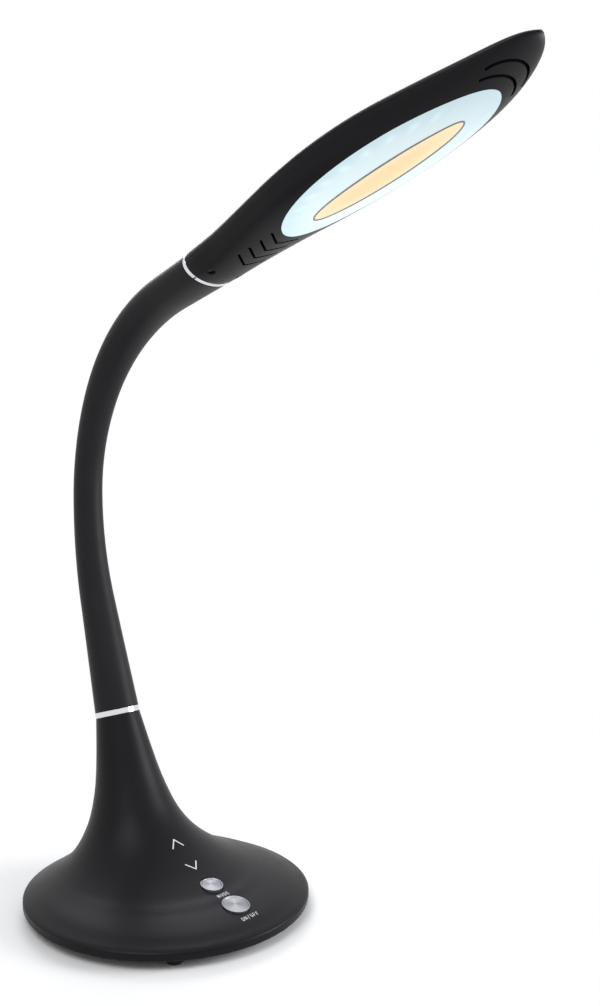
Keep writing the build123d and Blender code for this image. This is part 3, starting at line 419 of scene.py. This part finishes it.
# Letters as strokes in a box one wide and one tall.
bowl_turns = [2 * math.pi * k / BOWL_STEPS for k in range(BOWL_STEPS + 1)]
BOWL = [(0.5 + 0.5 * math.cos(turn), 0.5 + 0.5 * math.sin(turn)) for turn in bowl_turns]
STROKES = {
    "M": [[(0, 0), (0, 1), (0.5, 0.35), (1, 1), (1, 0)]],
    "O": [BOWL],
    "D": [[(0, 0), (0, 1), (0.55, 1), (0.9, 0.78), (1, 0.5), (0.9, 0.22), (0.55, 0), (0, 0)]],
    "E": [[(1, 1), (0, 1), (0, 0), (1, 0)], [(0, 0.5), (0.85, 0.5)]],
    "N": [[(0, 0), (0, 1), (1, 0), (1, 1)]],
    "/": [[(0.1, -0.1), (0.9, 1.1)]],
    "F": [[(1, 1), (0, 1), (0, 0)], [(0, 0.5), (0.85, 0.5)]],
}
# Each word and how far in front of the base's middle it stands.
WORDS = (("MODE", 51.2), ("ON/OFF", 74.4))
base_shell = nodes["base_shell"]
base_points = [base_shell.matrix_world @ v.co for v in base_shell.data.vertices]
base_faces = [tuple(face.vertices) for face in base_shell.data.polygons]
base_skin = BVHTree.FromPolygons(base_points, base_faces)


def on_base(reach, across):
    """Point just above the base's skin, from its place in plan in mm."""
    above = Vector((reach * MM, across * MM, ABOVE_BASE))
    hit, facing, _, _ = base_skin.ray_cast(above, Vector((0, 0, -1)))
    return hit + facing * PRINT_LIFT * MM


def print_line(grid, reach, first, second):
    """One straight stroke between two points of a word that stands at a reach, in mm."""
    along = (second - first).normalized() * PRINT_LINE / 2
    side = Vector((-along.y, along.x))
    start, stop = first - along, second + along
    corners = [start - side, stop - side, stop + side, start + side]
    face = grid.faces.new([grid.verts.new(on_base(reach - c.y, c.x)) for c in corners])
    face.normal_update()
    if face.normal.z < 0:
        face.normal_flip()


for word, reach in WORDS:
    grid = bmesh.new()
    for index, letter in enumerate(word):
        left = (index - len(word) / 2) * LETTER_PITCH + (LETTER_PITCH - LETTER_WIDE) / 2
        for stroke in STROKES[letter]:
            points = [
                Vector((left + x * LETTER_WIDE, (y - 0.5) * LETTER_TALL)) for x, y in stroke
            ]
            for first, second in zip(points, points[1:]):
                print_line(grid, reach, first, second)
    piece = piece_of("word_" + word.replace("/", "_").lower(), grid, ink)
    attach(piece, "base")

# ---------------------------------------------------------------------------------------
# Diffusers: opal acrylic, flush with the underside of the head. The long outer one is lit
# cool white by a ring of LEDs, the inner one warm white by two rows.

COOL = "#e9fbff"
COOL_EDGE = "#ddf7ff"
WARM = "#ffdca5"
WARM_EDGE = "#ffe9be"
LENS_CENTRE = 135.0
COOL_HALVES = (71.0, 26.2)
WARM_HALVES = (49.5, 9.2)
LED_SPOTS = 26

head_origin, head_dir, _ = neck_at(neck_length)


def lens_share(tree, where, halves):
    """How far out a point lies on an ellipse of the lens, 0 at its centre and 1 at its edge,
    its angle round the ellipse, and its place from the root at -1 to the tip at 1."""
    middle = (head_origin + head_dir * LENS_CENTRE) * MM
    from_middle = vector_step(tree, "SUBTRACT", where, middle)
    along, across = (
        vector_step(tree, "DOT_PRODUCT", from_middle, axis / (half * MM))
        for axis, half in zip((head_dir, Vector((0, 1, 0))), halves)
    )
    join = tree.nodes.new("ShaderNodeCombineXYZ")
    tree.links.new(along, join.inputs[0])
    tree.links.new(across, join.inputs[1])
    size = vector_step(tree, "LENGTH", join.outputs["Vector"])
    return size, combine(tree, "ARCTAN2", across, along), along


def band(tree, value, low, high, start=0.0, stop=1.0):
    """Smooth step of a value from start to stop as it goes from low to high."""
    step = tree.nodes.new("ShaderNodeMapRange")
    step.interpolation_type = "SMOOTHSTEP"
    step.inputs["From Min"].default_value = low
    step.inputs["From Max"].default_value = high
    step.inputs["To Min"].default_value = start
    step.inputs["To Max"].default_value = stop
    tree.links.new(value, step.inputs["Value"])
    return step.outputs["Result"]


# real material: opal acrylic, lit from behind
cool_opal, tree, shader, where = finish_of(
    "cool_opal_acrylic", "#5f6668", 0.3, ior=1.49, specular=0.3
)
share, turn, length = lens_share(tree, where, COOL_HALVES)
# Soft spots over the LEDs, in a ring near the edge that fades at both ends of the lens.
wave = combine(tree, "COSINE", combine(tree, "MULTIPLY", turn, LED_SPOTS))
spots = combine(tree, "POWER", combine(tree, "MULTIPLY_ADD", wave, 0.5, 0.5), 2.0)
inner, outer = band(tree, share, 0.74, 0.86), band(tree, share, 0.86, 0.98, 1, 0)
ring = combine(tree, "MULTIPLY", inner, outer)
flank = band(tree, combine(tree, "ABSOLUTE", combine(tree, "SINE", turn)), 0.35, 0.75)
beads = combine(tree, "MULTIPLY", spots, combine(tree, "MULTIPLY", ring, flank))
edge = band(tree, share, 0.62, 1.0)
tree.links.new(tint(tree, edge, COOL, COOL_EDGE), shader.inputs["Emission Color"])
# A little dimmer towards the edge and towards the tip.
outward, tipward = band(tree, share, 0.7, 1.0, 0.8, 0.74), band(tree, length, -1, 1, 1.06, 0.86)
level = combine(tree, "MULTIPLY", outward, tipward)
glow = combine(tree, "ADD", spread(tree, beads, 0.0, 0.1), level)
tree.links.new(glow, shader.inputs["Emission Strength"])
dress(cool_opal, "cool_diffuser")

# real material: opal acrylic, lit from behind
warm_opal, tree, shader, where = finish_of(
    "warm_opal_acrylic", "#5c564a", 0.3, ior=1.49, specular=0.3
)
share, _, _ = lens_share(tree, where, WARM_HALVES)
edge = band(tree, share, 0.4, 1.0)
tree.links.new(tint(tree, edge, WARM, WARM_EDGE), shader.inputs["Emission Color"])
glow = spread(tree, noise(tree, where, 30), 0.82, 0.88)
tree.links.new(glow, shader.inputs["Emission Strength"])
dress(warm_opal, "warm_diffuser")

# real material: grey polycarbonate
rim_plastic, tree, shader, where = finish_of("grey_polycarbonate", "#6d7072", 0.2, ior=1.58)
vary(tree, shader, noise(tree, where, 4), 0.15, 0.26)
dress(rim_plastic, "divider_rim")

# ---------------------------------------------------------------------------------------
# Light source: an aluminium-core board with white solder resist, screwed up to the posts
# of the upper shell, and its two groups of surface-mounted LEDs.

# real material: white solder resist on aluminium
resist, tree, shader, where = finish_of("white_resist", "#e8e9e6", 0.35)
colour(tree, shader, noise(tree, where, 8), "#e2e3e0", "#efefed")
dress(resist, "led_board")
# real material: phosphor in silicone
for name, code in (("cool_leds", "#f3f1c9"), ("warm_leds", "#f0c24a")):
    phosphor, tree, shader, where = finish_of(f"{name}_phosphor", code, 0.3)
    vary(tree, shader, noise(tree, where, 1.5), 0.25, 0.4)
    dress(phosphor, name)

# ---------------------------------------------------------------------------------------
# Core of the neck: turned steel links with ball joints between two clamped ferrules, their
# nuts, and the leads that run inside from the base to the head.

# real material: turned steel
core_steel, tree, shader, where = finish_of("turned_steel", "#8d8e91", 0.35, metallic=1.0)
vary(tree, shader, noise(tree, where, 1.2), 0.28, 0.45)
links = [f"neck_link_{n}" for n in range(1, JOINTS)]
dress(core_steel, "neck_foot_ferrule", "neck_head_ferrule", *links)

# real material: zinc-plated steel
zinc, tree, shader, where = finish_of("zinc_plate", "#b4b6ba", 0.3, metallic=1.0)
colour(tree, shader, noise(tree, where, 2.5, 3), "#a9acb2", "#c0c1c2")
dress(zinc, "neck_foot_nut", "neck_head_nut", "base_screws", "board_screws", "led_board_screws")
# real material: zinc-plated steel, passivated dark
dark_zinc, tree, shader, where = finish_of("dark_zinc_plate", "#2c2c2e", 0.45, metallic=0.8)
vary(tree, shader, noise(tree, where, 1.5), 0.4, 0.52)
dress(dark_zinc, "head_screws")

# real material: PVC sheath
sheath, tree, shader, where = finish_of("pvc_sheath", "#1f1f21", 0.4)
vary(tree, shader, noise(tree, where, 2), 0.34, 0.48)
leads = [f"neck_lead_{n}" for n in range(1, JOINTS)]
dress(sheath, "base_lead", "jack_lead", "head_lead", *leads)

# ---------------------------------------------------------------------------------------
# Inside and under the base: a cast ballast plate, the control board, and five rubber feet.

# real material: grey cast iron
iron, tree, shader, where = finish_of("cast_iron", "#5a5b5d", 0.6, metallic=0.9)
colour(tree, shader, noise(tree, where, 3, 4), "#4e4f51", "#68696b")
emboss(tree, shader, noise(tree, where, 0.9, 3), 0.2, 0.5)
dress(iron, "ballast_plate")

# real material: glass-epoxy board with green resist
epoxy, tree, shader, where = finish_of("green_resist", "#14502c", 0.32)
colour(tree, shader, noise(tree, where, 5, 3), "#114726", "#1a5a33")
dress(epoxy, "control_board")

# real material: nitrile rubber
rubber, tree, shader, where = finish_of("nitrile_rubber", "#18181a", 0.75, specular=0.3)
vary(tree, shader, noise(tree, where, 1.5, 3), 0.68, 0.85)
emboss(tree, shader, noise(tree, where, 0.5, 3), 0.05, 0.5)
dress(rubber, "rubber_feet")

# ---------------------------------------------------------------------------------------
# Floor and backdrop: a pale sweep that keeps the shadow near the lamp and fades to white.

FLOOR_HALF = 3.0
PAPER = (0.97, 0.965, 0.955, 1)
FADE_NEAR = 0.1
FADE_FAR = 0.3
corners = [(x * FLOOR_HALF, y * FLOOR_HALF, 0) for x, y in ((-1, -1), (1, -1), (1, 1), (-1, 1))]
floor_mesh = bpy.data.meshes.new("floor")
floor_mesh.from_pydata(corners, [], [(0, 1, 2, 3)])
floor = bpy.data.objects.new("floor", floor_mesh)
bpy.context.scene.collection.objects.link(floor)


def seen_rays(tree):
    """1 for camera, glossy and transmission rays, 0 for the light that falls on things."""
    path = tree.nodes.new("ShaderNodeLightPath")
    glossy, passed = path.outputs["Is Glossy Ray"], path.outputs["Is Transmission Ray"]
    mirrored = combine(tree, "MAXIMUM", glossy, passed)
    return combine(tree, "MAXIMUM", path.outputs["Is Camera Ray"], mirrored)


sweep = bpy.data.materials.new("paper_sweep")
sweep.use_nodes = True
tree = sweep.node_tree
paper = tree.nodes["Principled BSDF"]
paper.inputs["Base Color"].default_value = PAPER
paper.inputs["Roughness"].default_value = 0.9
paper.inputs["Specular IOR Level"].default_value = 0.1
place = tree.nodes.new("ShaderNodeTexCoord")
far = band(tree, vector_step(tree, "LENGTH", place.outputs["Object"]), FADE_NEAR, FADE_FAR)
glow = tree.nodes.new("ShaderNodeEmission")
glow.inputs["Strength"].default_value = 1.0
mix = tree.nodes.new("ShaderNodeMixShader")
tree.links.new(combine(tree, "MULTIPLY", far, seen_rays(tree)), mix.inputs["Fac"])
tree.links.new(paper.outputs["BSDF"], mix.inputs[1])
tree.links.new(glow.outputs["Emission"], mix.inputs[2])
tree.links.new(mix.outputs["Shader"], tree.nodes["Material Output"].inputs["Surface"])
floor_mesh.materials.append(sweep)

# ---------------------------------------------------------------------------------------
# Studio: a white surround and three large soft lamps.

SKY_LIGHT = 0.5
LAMP_COLOUR = (0.93, 0.95, 1.0)
AIM = Vector((0, 0, 0.22))
# Name, place in metres, diameter in metres and power in watts.
LAMPS = (
    ("key", (0.25, -0.75, 1.25), 0.9, 7.0),
    ("side", (0.9, 0.9, 0.45), 0.7, 13.0),
    ("back", (-0.9, 0.6, 0.9), 0.8, 6.5),
)

world = bpy.data.worlds.new("studio")
bpy.context.scene.world = world
world.use_nodes = True
tree = world.node_tree
sky = tree.nodes["Background"]
sky.inputs["Color"].default_value = (1, 1, 1, 1)
tree.links.new(spread(tree, seen_rays(tree), SKY_LIGHT, 1.0), sky.inputs["Strength"])

for name, spot, size, power in LAMPS:
    lamp = bpy.data.lights.new(name, "AREA")
    lamp.shape = "DISK"
    lamp.size = size
    lamp.energy = power
    lamp.color = LAMP_COLOUR
    body = bpy.data.objects.new(name, lamp)
    body.location = spot
    body.rotation_euler = (AIM - Vector(spot)).to_track_quat("-Z", "Y").to_euler()
    bpy.context.scene.collection.objects.link(body)

# ---------------------------------------------------------------------------------------
# Camera: to the front right of the lamp, a little below the head.

CAMERA_PLACE = Vector((0.51096, -0.42785, 0.29569))
CAMERA_AZIMUTH = math.radians(46.85)
CAMERA_PITCH = math.radians(-3.58)
CAMERA_ROLL = math.radians(0.785)
CAMERA_LENS = 38.37
SENSOR_WIDTH = 36.0
CLIP_START = 0.01

ahead = Vector((
    -math.cos(CAMERA_AZIMUTH) * math.cos(CAMERA_PITCH),
    math.sin(CAMERA_AZIMUTH) * math.cos(CAMERA_PITCH),
    math.sin(CAMERA_PITCH),
))
right = ahead.cross(Vector((0, 0, 1))).normalized()
above = right.cross(ahead)
rolled_right = right * math.cos(CAMERA_ROLL) + above * math.sin(CAMERA_ROLL)
rolled_up = above * math.cos(CAMERA_ROLL) - right * math.sin(CAMERA_ROLL)
lens = bpy.data.cameras.new("camera")
lens.lens = CAMERA_LENS
lens.sensor_width = SENSOR_WIDTH
lens.sensor_fit = "AUTO"
lens.clip_start = CLIP_START
camera = bpy.data.objects.new("camera", lens)
camera.matrix_world = Matrix((
    (rolled_right.x, rolled_up.x, -ahead.x, CAMERA_PLACE.x),
    (rolled_right.y, rolled_up.y, -ahead.y, CAMERA_PLACE.y),
    (rolled_right.z, rolled_up.z, -ahead.z, CAMERA_PLACE.z),
    (0, 0, 0, 1),
))
bpy.context.scene.collection.objects.link(camera)
bpy.context.scene.camera = camera
bpy.context.scene.view_settings.view_transform = "Standard"
